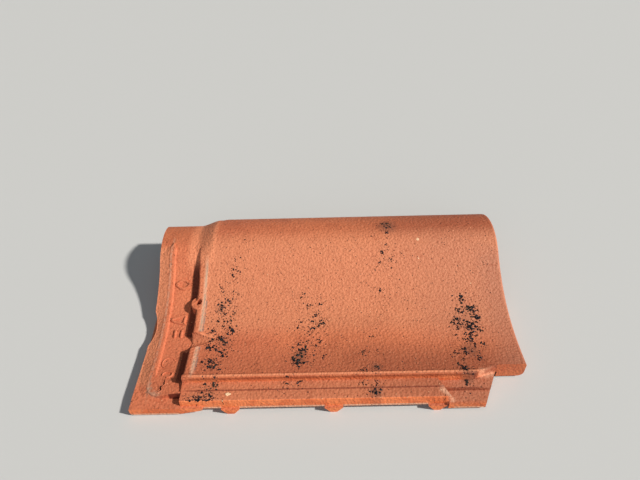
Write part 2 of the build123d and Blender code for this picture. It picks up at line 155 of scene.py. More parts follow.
# mark, x of its foot, y of its left side: the tops point to the head edge
MARK_PLACES = (("diamond", -147.0, 132.5), ("triangle", -148.5, 94.5), ("bars", -146.5, 78.5))
# arcs left by the mould's screws: middle, reach along x and y, first and last angle, share of the relief
SCREW_ARCS = (
    ((-156.5, 48.0), (6.2, 6.4), (20, 250), 0.45),
    ((-154.5, 34.0), (4.6, 3.2), (-100, 200), 0.8),
)


def on_tile(x, y, beside=False):
    """Heights in mm and slopes of the visible upper face at many places, from rays cast straight down on it.

    A slope is the rise per step along x or y, from the face's normal. A place beside the tile stops the
    script, or counts as level floor if beside is true."""
    tree = BVHTree.FromObject(TILE, bpy.context.evaluated_depsgraph_get())
    start_z, down = 1.0, Vector((0, 0, -1))
    hits = [tree.ray_cast(Vector((a * MM, (b + LOCK_Y) * MM, start_z)), down) for a, b in zip(x, y)]
    if not beside and any(h[0] is None for h in hits):
        raise ValueError("a detail lies beside the tile")
    z = np.array([h[0].z if h[0] else 0.0 for h in hits]) / MM
    normals = np.array([h[1] if h[0] else (0, 0, 1) for h in hits])
    slopes = np.clip(-normals[:, :2] / np.maximum(normals[:, 2:3], 0.3), -1.5, 1.5)
    return z, slopes


def distances(path):
    """Way in plan from the start of a path to each of its points."""
    steps = np.linalg.norm(np.diff(path[:, :2], axis=0), axis=1)
    return np.concatenate([[0], np.cumsum(steps)])


def left_of(path):
    """Unit vector in plan at each point of a path, square to it and towards its left."""
    ahead = np.gradient(path[:, :2], axis=0)
    ahead /= np.maximum(np.linalg.norm(ahead, axis=1, keepdims=True), 1e-9)
    return np.column_stack([-ahead[:, 1], ahead[:, 0]])


def as_mesh(grid):
    """Points of a grid one after the other, and the four corners of each of its cells."""
    rows, columns = grid.shape[:2]
    corner = (np.arange(rows - 1)[:, None] * columns + np.arange(columns - 1)).ravel()
    faces = np.column_stack([corner, corner + columns, corner + columns + 1, corner + 1])
    return grid.reshape(-1, 3), faces


def joined(parts):
    """Points and faces of several meshes as one."""
    start = np.cumsum([0] + [len(points) for points, faces in parts[:-1]])
    faces = [face for first, part in zip(start, parts) for face in (part[1] + first).tolist()]
    return np.vstack([points for points, _ in parts]), faces


def smooth_path(points, step):
    """Evenly spaced points on a curve through the given ones: a cubic through four neighbours at a time."""
    p = np.asarray(points, float)
    if len(p) > 2:
        ends = np.vstack([2 * p[0] - p[1], p, 2 * p[-1] - p[-2]])
        t = np.linspace(0, 1, 12, endpoint=False)[:, None, None]
        a, b, c, d = ends[:-3], ends[1:-2], ends[2:-1], ends[3:]
        bend, twist = 2 * a - 5 * b + 4 * c - d, 3 * b - a - 3 * c + d
        curve = 0.5 * (2 * b + (c - a) * t + bend * t**2 + twist * t**3)
        p = np.vstack([curve.transpose(1, 0, 2).reshape(-1, p.shape[1]), p[-1:]])
    along = distances(p)
    spots = np.linspace(0, along[-1], max(4, int(along[-1] / step) + 1))
    return np.column_stack([np.interp(spots, along, p[:, k]) for k in range(p.shape[1])])


def ridge(points, width, height, across=7, sunk=0.12, step=0.5, round_ends=True, power=2):
    """Low ridge along a path on the tile, whose width shrinks like a circle at both ends.

    A point is the path plus the side direction times the offset. Its height is the tile's, by its slope, plus
    the ridge's height times one less the share of the half width to a power, less the sunk depth times that
    share to the fourth. The higher the power, the flatter the top. A third number of a point is its width."""
    path = smooth_path(points, step)
    xy = path[:, :2]
    half = path[:, 2] / 2 if path.shape[1] > 2 else np.full(len(path), width / 2)
    if round_ends:
        along = distances(path)
        near_end = np.minimum(along, along[-1] - along)
        half = half * np.sqrt(np.clip(1 - (1 - np.clip(near_end / (width / 2), 0, 1)) ** 2, 0.02, 1))
    z, slopes = on_tile(xy[:, 0], xy[:, 1])
    share = np.linspace(-1, 1, across)
    offset = left_of(path)[:, None, :] * (half[:, None] * share)[:, :, None]
    rise = (height * (1 - np.abs(share) ** power))[None, :] * np.minimum(1, half / (width / 2))[:, None]
    level = z[:, None] + (offset * slopes[:, None, :]).sum(-1) + rise - sunk * np.abs(share) ** 4
    return as_mesh(np.dstack([xy[:, None, :] + offset, level]))


def cove(path, side, width, inward, power, sunk=0.05):
    """Hollow rounding between a wall and the lower face beside it, along the wall's upper edge.

    A point is the path plus the side direction times a share of the width. Its height falls from that just
    inside the wall to that at the foot by a power of the share that is left: the higher the power, the
    hollower. All of it lies lower by the sunk depth."""
    path, side = np.asarray(path, float), np.asarray(side, float)
    top = on_tile(*(path - side * inward).T)[0]
    foot = on_tile(*(path + side * width[:, None]).T)[0]
    share = np.linspace(0, 1, 7)
    xy = path[:, None, :] + side[:, None, :] * (width[:, None] * share)[:, :, None]
    level = foot[:, None] + (top - foot)[:, None] * (1 - share) ** power - sunk
    return as_mesh(np.dstack([xy, level]))


def lumps(x, y, radius, height, rng, sides=8):
    """Low irregular lumps on the tile: a foot ring and a shoulder ring round each middle, and a top.

    A ring point lies at its angle, at the radius times a random share, and the ring is squeezed across a
    random direction. Its height is the tile's, by its slope, plus a share of the lump's height, below nought
    for the foot ring, and never above the crest."""
    n = len(x)
    z, slopes = on_tile(x, y)
    angle = rng.uniform(0, 2 * np.pi, (n, 1)) + np.arange(sides) * 2 * np.pi / sides
    reach = radius[:, None] * rng.uniform(0.6, 1.25, (n, sides))
    squeeze = rng.uniform(0.5, 1.0, (n, 1))
    turn = rng.uniform(0, np.pi, (n, 1))
    dx, dy = reach * np.cos(angle), reach * np.sin(angle) * squeeze
    dx, dy = dx * np.cos(turn) - dy * np.sin(turn), dx * np.sin(turn) + dy * np.cos(turn)
    foot_ring, shoulder_ring = (1.0, -0.08), (0.72, 0.75)
    rings = []
    for share, rise in (foot_ring, shoulder_ring):
        level = z[:, None] + share * (dx * slopes[:, :1] + dy * slopes[:, 1:]) + rise * height[:, None]
        ring = [x[:, None] + share * dx, y[:, None] + share * dy, np.minimum(level, CREST_Z)]
        rings.append(np.dstack(ring))
    top = np.column_stack([x, y, np.minimum(z + height, CREST_Z)])[:, None, :]
    points = np.concatenate([*rings, top], axis=1).reshape(-1, 3)
    k = np.arange(sides)
    after = (k + 1) % sides
    quads = np.column_stack([k, after, after + sides, k + sides])
    tops = np.column_stack([k + sides, after + sides, np.full(sides, 2 * sides)])
    start = (np.arange(n) * (2 * sides + 1))[:, None, None]
    return points, (quads + start).reshape(-1, 4).tolist() + (tops + start).reshape(-1, 3).tolist()


def add_mesh(name, points, faces, material):
    """Makes a smooth object from points in mm and faces, riding on the tile."""
    points = np.asarray(points, float) * MM
    points[:, 1] += LOCK_Y * MM
    mesh = bpy.data.meshes.new(name)
    mesh.from_pydata(points.tolist(), [], [list(map(int, f)) for f in faces])
    mesh.validate()
    mesh.shade_smooth()
    mesh.materials.append(material)
    obj = bpy.data.objects.new(name, mesh)
    bpy.context.scene.collection.objects.link(obj)
    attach(obj, "root")
    return obj


def colour(text):
    """sRGB hex such as '#c0603a' as linear RGBA."""
    rgb = np.array([int(text[i : i + 2], 16) for i in (1, 3, 5)]) / 255
    linear = np.where(rgb <= 0.04045, rgb / 12.92, ((rgb + 0.055) / 1.055) ** 2.4)
    return (*linear.tolist(), 1.0)


def node(tree, kind, feeds=(), **settings):
    """Adds a node. The settings set its attributes or its sockets' values by name; feeds gives sockets a link
    or a plain value."""
    n = tree.nodes.new(kind)
    for key, value in settings.items():
        if hasattr(n, key):
            setattr(n, key, value)
        else:
            sockets = [s for s in n.inputs if s.name.replace(" ", "_").lower() == key.lower()]
            for s in sockets[:1]:
                s.default_value = value
    for socket, source in dict(feeds).items():
        if isinstance(source, bpy.types.NodeSocket):
            tree.links.new(source, n.inputs[socket])
        else:
            n.inputs[socket].default_value = source
    return n


def new_material(name, roughness=0.5, specular=0.5):
    """Node material with just a shader and its output; returns the material, its tree and the shader."""
    material = bpy.data.materials.new(name)
    material.use_nodes = True
    tree = material.node_tree
    tree.nodes.clear()
    out = tree.nodes.new("ShaderNodeOutputMaterial")
    shader = tree.nodes.new("ShaderNodeBsdfPrincipled")
    shader.inputs["Roughness"].default_value = roughness
    shader.inputs["Specular IOR Level"].default_value = specular
    tree.links.new(shader.outputs[0], out.inputs[0])
    return material, tree, shader


def object_coords(tree):
    """Coordinates of the object, which move with it."""
    return node(tree, "ShaderNodeTexCoord").outputs["Object"]


def smooth_band(tree, value, start, full):
    """Factor that goes smoothly from 0 at start to 1 at full, whichever of the two is the greater."""
    ends = (0.0, 1.0) if full > start else (1.0, 0.0)
    feeds = {0: value, 1: min(start, full), 2: max(start, full), 3: ends[0], 4: ends[1]}
    return node(tree, "ShaderNodeMapRange", feeds, interpolation_type="SMOOTHSTEP", clamp=True).outputs[0]


def times(tree, *factors):
    """Product of several factors, sockets or numbers."""
    result = factors[0]
    for factor in factors[1:]:
        result = node(tree, "ShaderNodeMath", {0: result, 1: factor}, operation="MULTIPLY").outputs[0]
    return result


def band(tree, value, low, high, soft):
    """Factor of 1 between low and high, falling to 0 within soft on both sides."""
    return times(tree, smooth_band(tree, value, low - soft, low), smooth_band(tree, value, high + soft, high))


def tint(tree, base, over, factor):
    """Lays the colour over on base by the factor."""
    return node(tree, "ShaderNodeMix", {0: factor, 6: base, 7: over}, data_type="RGBA").outputs[2]


def noise(tree, coords, size_mm, detail=2.0, roughness=0.55, shift=0.0):
    """Noise whose grains are about size_mm wide; shift moves the pattern, so that two layers differ."""
    place = (shift, 0.3 * shift, -0.7 * shift)
    feeds = {"Vector": node(tree, "ShaderNodeMapping", {"Vector": coords}, Location=place).outputs[0]}
    scale = 0.8 / (size_mm * MM)
    return node(tree, "ShaderNodeTexNoise", feeds, Scale=scale, Detail=detail, Roughness=roughness).outputs[0]


def specks(tree, coords, cell_mm, width_mm, share, channel):
    """Dots about width_mm wide, one in each cell of cell_mm; only a share is kept, by the cell's colour."""
    cells = node(tree, "ShaderNodeTexVoronoi", {"Vector": coords}, Scale=1 / (cell_mm * MM), Randomness=1.0)
    chance = node(tree, "ShaderNodeSeparateColor", {0: cells.outputs["Color"]}).outputs[channel]
    edge = 0.5 * width_mm / cell_mm
    dot = smooth_band(tree, cells.outputs["Distance"], edge, edge * 0.6)
    return times(tree, dot, smooth_band(tree, chance, 1 - share, 1 - share + 0.01))


class ClayLayers:
    """The clay's colour while its layers are laid one on another, and the masks that several layers share."""

    def __init__(self, tree, settings):
        self.tree, self.settings = tree, settings
        self.coords = object_coords(tree)
        self.x, self.y, self.z = node(tree, "ShaderNodeSeparateXYZ", {0: self.coords}).outputs
        normal = node(tree, "ShaderNodeNewGeometry").outputs["Normal"]
        self.normal = node(tree, "ShaderNodeSeparateXYZ", {0: normal}).outputs
        self.plan = node(tree, "ShaderNodeCombineXYZ", {0: self.x, 1: self.y}).outputs[0]
        self.colour = colour(settings.clay_hex)
        self.patches = self.noise(14, detail=3.0, roughness=0.6, shift=3.0)
        blotches = self.noise(4, detail=4.0, roughness=0.75, shift=5.0)
        self.worn = self.rise(blotches, 0.34, 0.56)
        self.on_body = self.x_rise(LEDGE_X - 1, LEDGE_X + 12)
        self.on_seats = self.times(self.y_band(3, 22, 2), self.on_body)
        at_drain = self.y_band(DRAIN_Y0, DRAIN_Y1, 2)
        self.off_drain = node(tree, "ShaderNodeMath", {0: 1.0, 1: at_drain}, operation="SUBTRACT").outputs[0]
        to_lock_edge = self.rise(self.y, (LOCK_Y + 4.5) * MM, (LOCK_Y + 4) * MM)
        self.on_outer_faces = self.times(self.rise(self.normal[1], -0.45, -0.8), to_lock_edge)

    def noise(self, size_mm, **details):
        """Noise in the clay's own tree and coordinates."""
        return noise(self.tree, self.coords, size_mm, **details)

    def times(self, *factors):
        """Product in the clay's own tree."""
        return times(self.tree, *factors)

    def rise(self, value, start, full):
        """Factor that goes smoothly from 0 at start to 1 at full, in the clay's own tree."""
        return smooth_band(self.tree, value, start, full)

    def x_rise(self, start, full):
        """Factor that rises along the tile from 0 at start to 1 at full, in mm."""
        return self.rise(self.x, start * MM, full * MM)

    def x_band(self, low, high, soft):
        """Factor of 1 between two places along the tile, in mm."""
        return band(self.tree, self.x, low * MM, high * MM, soft * MM)

    def y_band(self, low, high, soft):
        """Factor of 1 between two places across the tile, in mm from the lock's outer face."""
        return band(self.tree, self.y, (LOCK_Y + low) * MM, (LOCK_Y + high) * MM, soft * MM)

    def away_from(self, x, y):
        """Distance in plan, in metres, from a place given in mm."""
        feeds = {0: self.plan, 1: (x * MM, (LOCK_Y + y) * MM, 0)}
        return node(self.tree, "ShaderNodeVectorMath", feeds, operation="DISTANCE").outputs["Value"]

    def lay(self, shade, *factors):
        """Lays a colour, hex or socket, over the clay so far, as strongly as the product of the factors."""
        over = colour(shade) if isinstance(shade, str) else shade
        self.colour = tint(self.tree, self.colour, over, self.times(*factors))


def lay_firing(clay):
    """Uneven firing: lighter and darker patches 90 mm and 14 mm wide, brown flashing on the crest and in the
    pan, a paler bloom on the lock's seats, and duller clay near the foot. Painted light besides: a painted
    sheen on the slope, and painted light on the ramp and in the drain, which face away from the key lamp."""
    s = clay.settings
    clay.lay(s.clay_light_hex, clay.rise(clay.noise(90, detail=3.0), 0.38, 0.64))
    clay.lay(s.clay_dark_hex, clay.rise(clay.patches, 0.5, 0.68), 0.30)
    crest = clay.y_band(186, 260, 16)
    clay.lay(s.flash_hex, crest, 0.20)
    clay.lay(s.flash_hex, crest, clay.x_rise(-20, 120), 0.5)
    pan = clay.y_band(24, 34, 42)
    clay.lay(s.flash_hex, pan, clay.on_body, 0.30)
    clay.lay(s.flash_hex, pan, clay.x_rise(-90, 100), 0.62)
    # painted sheen: the slope of the roll is paler and pinker, as where it reflects the light
    slope = clay.y_band(92, 168, 26)
    clay.lay(s.bloom_and_sheen_hex, slope, clay.on_body, 0.62)
    foot = clay.times(clay.x_rise(145, 178), clay.y_band(10, 150, 20))
    clay.lay(s.foot_hex, foot, 0.6)
    clay.lay(s.bloom_and_sheen_hex, clay.on_seats, 0.3)
    clay.lay(s.flash_hex, clay.on_seats, clay.x_rise(30, 120), 0.3)
    # painted light: the ramp and the drain's floor are brightened, as they face away from the key lamp
    ramp = clay.times(clay.x_band(LEDGE_X - 10, LEDGE_X + 12, 8), clay.y_band(160, 240, 14))
    clay.lay(s.painted_light_hex, ramp, 0.6)
    lit_drain_floor = clay.y_band(DRAIN_Y0 + 5, DRAIN_Y1 - 2, 2)
    clay.lay(s.painted_light_hex, clay.times(clay.x_band(LEDGE_X + 1, LEDGE_X + 22, 4), lit_drain_floor), 0.5)
    head_strip = clay.times(clay.x_band(HEAD_X - 4, RIB_X - 1, 3), clay.y_band(30, 170, 10))
    clay.lay(s.clay_light_hex, head_strip, 0.5)
    clay.lay(s.grit_hex, head_strip, 0.22)
    lower_slope = clay.times(clay.x_rise(50, 130), clay.y_band(74, 172, 20))
    clay.lay(s.foot_hex, lower_slope, 0.40)
    lock_end = clay.times(clay.y_band(3, 22, 2), clay.x_rise(106, 116))
    clay.lay(s.foot_hex, lock_end, 0.4)
    belly = clay.times(clay.x_band(10, 50, 30), clay.y_band(56, 84, 24))
    clay.lay(s.flash_hex, belly, 0.16)


def lay_slip_grain(clay, grain, grain_mm):
    """Grain of the slip: darker and lighter dots about as wide as the grain."""
    s = clay.settings
    pale_grain = clay.noise(grain_mm * 0.8, detail=1.0, roughness=0.5, shift=7.0)
    clay.lay(s.clay_dark_hex, clay.rise(grain, 0.50, 0.68), 0.5)
    clay.lay(s.grit_hex, clay.rise(pale_grain, 0.54, 0.74), 0.16)


def lay_trimmed_faces(clay):
    """Clay trimmed after pressing, bright orange without its slip: the outer faces of the lock's side, the
    foot's side and the bead's face. Beyond the lock's end such faces are darker. The foot's arris gets a
    painted pale highlight, and the bead's top, which swings to the foot's corner, a painted highlight."""
    s = clay.settings
    raw = tint(clay.tree, colour(s.raw_hex), colour(s.raw_dark_hex), clay.rise(clay.patches, 0.42, 0.62))
    to_lock_side = clay.rise(clay.normal[1], -0.6, -0.85)
    clay.lay(raw, clay.on_outer_faces)
    clay.lay(raw, to_lock_side, clay.x_rise(155, 158), 0.7)
    clay.lay(s.clay_dark_hex, to_lock_side, clay.x_rise(108, 112), 0.27)
    # painted highlight on the foot's arris, where the face leans out and up
    leaning_out = band(clay.tree, clay.normal[1], -0.72, -0.25, 0.12)
    leaning_up = clay.rise(clay.normal[2], 0.2, 0.4)
    foot_arris_highlight = clay.times(leaning_out, leaning_up, clay.x_rise(153, 156), clay.y_band(20, 34, 2))
    clay.lay(s.worn_clay_and_highlight_hex, foot_arris_highlight, 0.8)
    bead_face = clay.times(clay.rise(clay.normal[1], -0.35, -0.7), clay.y_band(21.5, 24.2, 0.4), clay.on_body)
    clay.lay(raw, bead_face, clay.x_rise(134, 122), 0.75)
    # painted highlight along the bead's top, bent towards the foot's corner
    swing = clay.times(clay.x_rise(134, 158), -4.0 * MM)
    bent_y = node(clay.tree, "ShaderNodeMath", {0: clay.y, 1: swing}, operation="ADD").outputs[0]
    bead_top_highlight = band(clay.tree, bent_y, (LOCK_Y + 24.4) * MM, (LOCK_Y + 25.8) * MM, 0.7 * MM)
    clay.lay(s.painted_light_hex, bead_top_highlight, clay.on_body, 0.7)


def lay_worn_ridges(clay):
    """Ridges that carried the tile above in the stack, rubbed pale grey in patches: the ledge's bead, the
    head rib and the rib's corner."""
    s = clay.settings
    bead = clay.x_band(LEDGE_X + 6.7, LEDGE_X + 9.3, 1.2)
    bead_core = clay.x_band(LEDGE_X + 7.8, LEDGE_X + 8.9, 0.6)
    ledge = clay.times(bead, clay.y_band(34, 150, 14), clay.off_drain)
    core = clay.times(bead_core, clay.y_band(34, 144, 14), clay.off_drain)
    rib = clay.times(clay.x_band(RIB_X + 1.6, RIB_X + 2.6, 1.5), clay.y_band(22, 180, 16))
    middle_x, middle_y = RIB_X + RIB_CORNER_R, FLOOR_Y + RIB_CORNER_R
    corner = clay.times(
        band(clay.tree, clay.away_from(middle_x, middle_y), 9.0 * MM, 12.6 * MM, 1.6 * MM),
        clay.x_rise(middle_x + 5, middle_x - 3),
        clay.rise(clay.y, (LOCK_Y + middle_y + 3) * MM, (LOCK_Y + middle_y - 1) * MM),
    )
    clay.lay(s.worn_clay_and_highlight_hex, ledge, 0.5)
    for ridge_part, amount in ((core, 0.85), (rib, 0.4), (corner, 0.5)):
        clay.lay(s.worn_hex, ridge_part, clay.worn, amount)


def lay_crease_shade(clay):
    """Painted shade in the creases beside the lock's beads, and a painted shadow in the slot at the near
    corner of the head.
    """
    s = clay.settings
    before_foot = clay.x_rise(144, 132)
    # painted shade in the creases beside the lock's beads
    for low, high, amount in ((27.5, 28.3, 0.5), (22.4, 22.9, 0.6), (13.2, 13.9, 0.65)):
        clay.lay(s.painted_shade_hex, clay.y_band(low, high, 0.35), clay.on_body, before_foot, amount)
    # painted shadow in the slot at the near corner of the head
    slot = clay.times(clay.x_band(LEDGE_X - 11, LEDGE_X - 0.5, 1.2), clay.y_band(10.5, 12.0, 0.5))
    clay.lay(s.painted_shade_hex, slot, 0.95)


def lay_burr_highlight(clay):
    """Painted highlight along the lower edges of the outer faces, where a burr would catch the light; the
    feet interrupt it.

    The way from the first foot, folded at half the feet's spacing, is the distance from the nearest foot."""
    feeds = {0: clay.x, 1: (LEDGE_X + FIRST_FOOT) * MM}
    from_first = node(clay.tree, "ShaderNodeMath", feeds, operation="SUBTRACT").outputs[0]
    feeds = {0: from_first, 1: FOOT_SPACING * MM / 2}
    from_nearest = node(clay.tree, "ShaderNodeMath", feeds, operation="PINGPONG").outputs[0]
    off_foot = clay.rise(from_nearest, 7.5 * MM, 9 * MM)
    head_edge = (HEAD_X - 2, LEDGE_X - 2, 1.2, 1.0)
    lock_edge = (LEDGE_X + 19, 103, 6.4, off_foot)
    cut_back_edge = (113, 139, 3.2, 1.0)
    for first_x, last_x, under_z, share in (head_edge, lock_edge, cut_back_edge):
        along_edge = clay.x_band(first_x, last_x, 1)
        at_edge = band(clay.tree, clay.z, (under_z - 1) * MM, (under_z + 1.9) * MM, 0.5 * MM)
        # painted highlight along the lower edge of the outer face
        rim_highlight = clay.times(along_edge, at_edge, clay.on_outer_faces)
        clay.lay(clay.settings.worn_clay_and_highlight_hex, rim_highlight, share, 0.85)


def lay_dirt_and_shade(clay):
    """Grey scuffs at the foot of the ledge's bead, painted shade in the shelter under the ledge but not on
    the nail boss, soft stains, and rubbed places and a painted sheen where the bead meets the foot."""
    s = clay.settings
    bead_foot = clay.x_band(LEDGE_X + 10.2, LEDGE_X + 10.8, 0.9)
    clay.lay(s.scuff_hex, bead_foot, clay.y_band(34, 112, 10), clay.off_drain, clay.worn, 0.75)
    # painted shade under the ledge, kept off the nail boss
    painted_shade_under_ledge = clay.x_band(LEDGE_X - 7, LEDGE_X + 0.5, 1.5)
    off_boss = clay.rise(clay.away_from(NAIL_X, NAIL_Y), 8.2 * MM, 9.4 * MM)
    clay.lay(s.painted_shade_hex, painted_shade_under_ledge, clay.y_band(30, 150, 12), clay.off_drain, off_boss, 0.8)
    # stains, rubbed places, and a painted sheen where the bead meets the foot
    for places, shade in ((STAINS, s.stain_hex), (RUBBED_AND_SHEEN_PLACES, s.worn_clay_and_highlight_hex)):
        for x, y, radius, amount in places:
            clay.lay(shade, clay.rise(clay.away_from(x, y), radius * MM, 0.15 * radius * MM), amount)


def lay_grit(clay):
    """Grit in the clay: pale grains and dark iron specks."""
    s = clay.settings
    pale = specks(clay.tree, clay.coords, cell_mm=3.3, width_mm=1.3, share=0.05, channel=0)
    dark = specks(clay.tree, clay.coords, cell_mm=3.0, width_mm=1.5, share=0.05, channel=1)
    clay.lay(s.grit_hex, pale, 0.75)
    clay.lay(s.speck_hex, dark, 0.85)


def fired_clay(settings):
    """Pressed and slip-coated fired clay: matt terracotta with a fine orange-peel grain and grit, browner
    where the kiln's flame touched it, brighter and rougher where it was trimmed, and worn pale grey along the
    two ridges that carried the tile above it in the stack. Light and shade are also painted into its colour:
    a sheen, highlights, and shade in creases and under the ledge."""
    material, tree, shader = new_material("pressed_slip_coated_fired_clay", specular=0.32)
    clay = ClayLayers(tree, settings)
    grain_mm = settings.grain * 1000
    grain = clay.noise(grain_mm, detail=2.0, roughness=0.6)
    lay_firing(clay)
    lay_slip_grain(clay, grain, grain_mm)
    lay_trimmed_faces(clay)
    lay_worn_ridges(clay)
    lay_crease_shade(clay)
    lay_burr_highlight(clay)
    lay_dirt_and_shade(clay)
    lay_grit(clay)
    tree.links.new(clay.colour, shader.inputs["Base Color"])

    smoothest, roughest = 0.58, 0.78
    roughness = node(tree, "ShaderNodeMapRange", {0: grain, 3: smoothest, 4: roughest})
    tree.links.new(roughness.outputs[0], shader.inputs["Roughness"])
    peel = {"Height": clay.noise(grain_mm * 1.3, detail=1.0, roughness=0.5, shift=11.0)}
    fine = node(tree, "ShaderNodeBump", peel, Strength=1.0, Distance=1.0 * MM)
    trimmed = {"Height": clay.times(clay.on_outer_faces, clay.patches), "Normal": fine.outputs[0]}
    pits = node(tree, "ShaderNodeBump", trimmed, Strength=0.8, Distance=1.2 * MM)
    tree.links.new(pits.outputs[0], shader.inputs["Normal"])
    return material


def crack_shade(settings):
    """Open firing crack: matt, almost black, because no light comes back out of it."""
    material, tree, shader = new_material("shaded_firing_crack", roughness=0.9, specular=0.1)
    dusty = smooth_band(tree, noise(tree, object_coords(tree), 0.8), 0.62, 0.78)
    base = tint(tree, colour(settings.crack_hex), colour(settings.painted_shade_hex), dusty)
    tree.links.new(base, shader.inputs["Base Color"])
    return material


def lichen_crust(settings):
    """Dry lichen and soot: matt crumbs from blue-black to a greenish grey, each a little different."""
    material, tree, shader = new_material("dry_lichen_and_soot", roughness=0.92, specular=0.2)
    coords = object_coords(tree)
    lighter = smooth_band(tree, noise(tree, coords, 1.6), 0.48, 0.68)
    greener = smooth_band(tree, noise(tree, coords, 11, shift=2.0), 0.55, 0.68)
    base = tint(tree, colour(settings.lichen_hex), colour(settings.lichen_light_hex), lighter)
    base = tint(tree, base, colour(settings.lichen_green_hex), times(tree, greener, 0.5))
    tree.links.new(base, shader.inputs["Base Color"])
    crumbs = {"Height": noise(tree, coords, 0.5)}
    bump = node(tree, "ShaderNodeBump", crumbs, Strength=0.6, Distance=0.2 * MM)
    tree.links.new(bump.outputs[0], shader.inputs["Normal"])
    return material


def burst_lime(settings):
    """Lime grain that burst the surface: chalky cream, with fresh orange clay showing in patches."""
    material, tree, shader = new_material("burst_lime_grain", roughness=0.85)
    fresh_clay = times(tree, smooth_band(tree, noise(tree, object_coords(tree), 1.2), 0.56, 0.7), 0.6)
    base = tint(tree, colour(settings.lime_hex), colour(settings.raw_hex), fresh_clay)
    tree.links.new(base, shader.inputs["Base Color"])
    return material


def hex_setting(name, description, default):
    """Property that holds an sRGB hex colour."""
    return bpy.props.StringProperty(name=name, description=description, default=default)


def length_setting(name, description, default_mm):
    """Property that holds a length, in metres."""
    return bpy.props.FloatProperty(name=name, description=description, default=default_mm * MM, unit="LENGTH")


class TileLook(bpy.types.PropertyGroup):
    """Colours and sizes of the finish."""

    clay_hex: hex_setting("Clay", "Main colour of the fired clay", "#ce7350")
    clay_light_hex: hex_setting("Light clay", "Lighter patches of the clay", "#d87c54")
    clay_dark_hex: hex_setting("Dark grain", "Darker patches and grain of the clay", "#9c4c30")
    flash_hex: hex_setting("Flashing", "Brown left by the flame", "#8e4a33")
    # a paler bloom on the lock's seats, and a painted sheen on the slope of the roll
    bloom_and_sheen_hex: hex_setting("Bloom", "Paler bloom on the slope of the roll and the lock's seats", "#d98c66")
    raw_hex: hex_setting("Trimmed clay", "Trimmed faces without slip", "#ef8450")
    raw_dark_hex: hex_setting("Dark trimmed clay", "Patches of the trimmed faces", "#dc6f40")
    worn_hex: hex_setting("Worn ridges", "Pale grey where tiles rubbed in the stack", "#b59a83")
    # pale clay on rubbed ridges and places, and painted highlights on the foot's arris, along the lower edges
    # and where the bead meets the foot
    worn_clay_and_highlight_hex: hex_setting("Worn clay", "Pale clay on rubbed ridges, places and burrs", "#e3ad8e")
    foot_hex: hex_setting("Foot", "Duller clay near the foot and at the lock's end", "#b5745a")
    # painted light on the ramp and in the drain, and a painted highlight along the bead's top
    painted_light_hex: hex_setting("Bright clay", "Cleaner clay of ramp, drain and bead top", "#f39a70")
    stain_hex: hex_setting("Stains", "Grey film of soot in the drifts", "#5a4338")
    # painted shade in the creases, the head's slot and under the ledge; it also tints the inside of the
    # cracks
    painted_shade_hex: hex_setting("Creases", "Dirt in the creases and under the ledge", "#6e2a1a")
    scuff_hex: hex_setting("Scuffs", "Grey rubbed into the foot of the ledge's bead", "#8d7a70")
    grit_hex: hex_setting("Light grit", "Pale grains in the slip", "#eeae86")
    speck_hex: hex_setting("Dark specks", "Iron grains in the slip", "#3d211b")
    crack_hex: hex_setting("Crack", "Inside of the firing cracks", "#1c0e0b")
    lichen_hex: hex_setting("Lichen", "Dark crumbs of lichen and soot", "#17161b")
    lichen_light_hex: hex_setting("Light lichen", "Lighter crumbs", "#38393f")
    lichen_green_hex: hex_setting("Green lichen", "Greenish crumbs", "#3f3a2c")
    lime_hex: hex_setting("Lime", "Cream of the burst lime grains", "#f3cfa6")
    arris: length_setting("Arris", "Rounding of the pressed arrises", 0.8)
    grain: length_setting("Grain", "Width of the slip's grain", 1.5)
    mark_height: length_setting("Mark height", "Length of the raised mould marks", 15.0)
    stroke: length_setting("Stroke", "Width of a mark's stroke", 3.3)
    relief: length_setting("Relief", "How far the marks stand out", 1.8)
    lichen_share: bpy.props.FloatProperty(
        name="Lichen",
        description="Share of the lichen crumbs that is added",
        default=1.0,
        min=0.0,
        max=2.0,
        subtype="FACTOR",
    )


class TILE_OT_clay(bpy.types.Operator):
    """Gives the CAD solid rounded arrises and its fired clay finish"""

    bl_idname = "tile.clay"
    bl_label = "Fired clay"

    def execute(self, context):
        settings = context.scene.tile_look
        material = fired_clay(settings)
        TILE.data.materials.clear()
        TILE.data.materials.append(material)
        weld = TILE.modifiers.new("weld", "WELD")
        weld.merge_threshold = 0.01 * MM
        bevel = TILE.modifiers.new("arrises", "BEVEL")
        bevel.width = settings.arris
        bevel.segments = 2
        bevel.limit_method = "ANGLE"
        bevel.angle_limit = np.radians(35)
        bevel.harden_normals = False
        smooth = TILE.modifiers.new("normals", "WEIGHTED_NORMAL")
        smooth.keep_sharp = True
        TILE.data.shade_smooth()
        return {"FINISHED"}


class TILE_OT_mould_marks(bpy.types.Operator):
    """Adds the row of plain raised mould marks between the head rib and the ledge"""

    bl_idname = "tile.mould_marks"
    bl_label = "Mould marks"

    def execute(self, context):
        settings = context.scene.tile_look
        tall, stroke, relief = settings.mark_height / MM, settings.stroke / MM, settings.relief / MM
        for name, foot_x, left_y in MARK_PLACES:
            strokes = []
            for points in MARKS[name]:
                cell = np.array(points)
                path = np.column_stack([foot_x - tall * cell[:, 1], left_y + tall * cell[:, 0]])
                open_ends = name == "bars"
                strokes.append(ridge(path, stroke, relief, across=9, power=3, round_ends=open_ends))
            add_mesh("mark_" + name, *joined(strokes), TILE.data.materials[0])
        return {"FINISHED"}


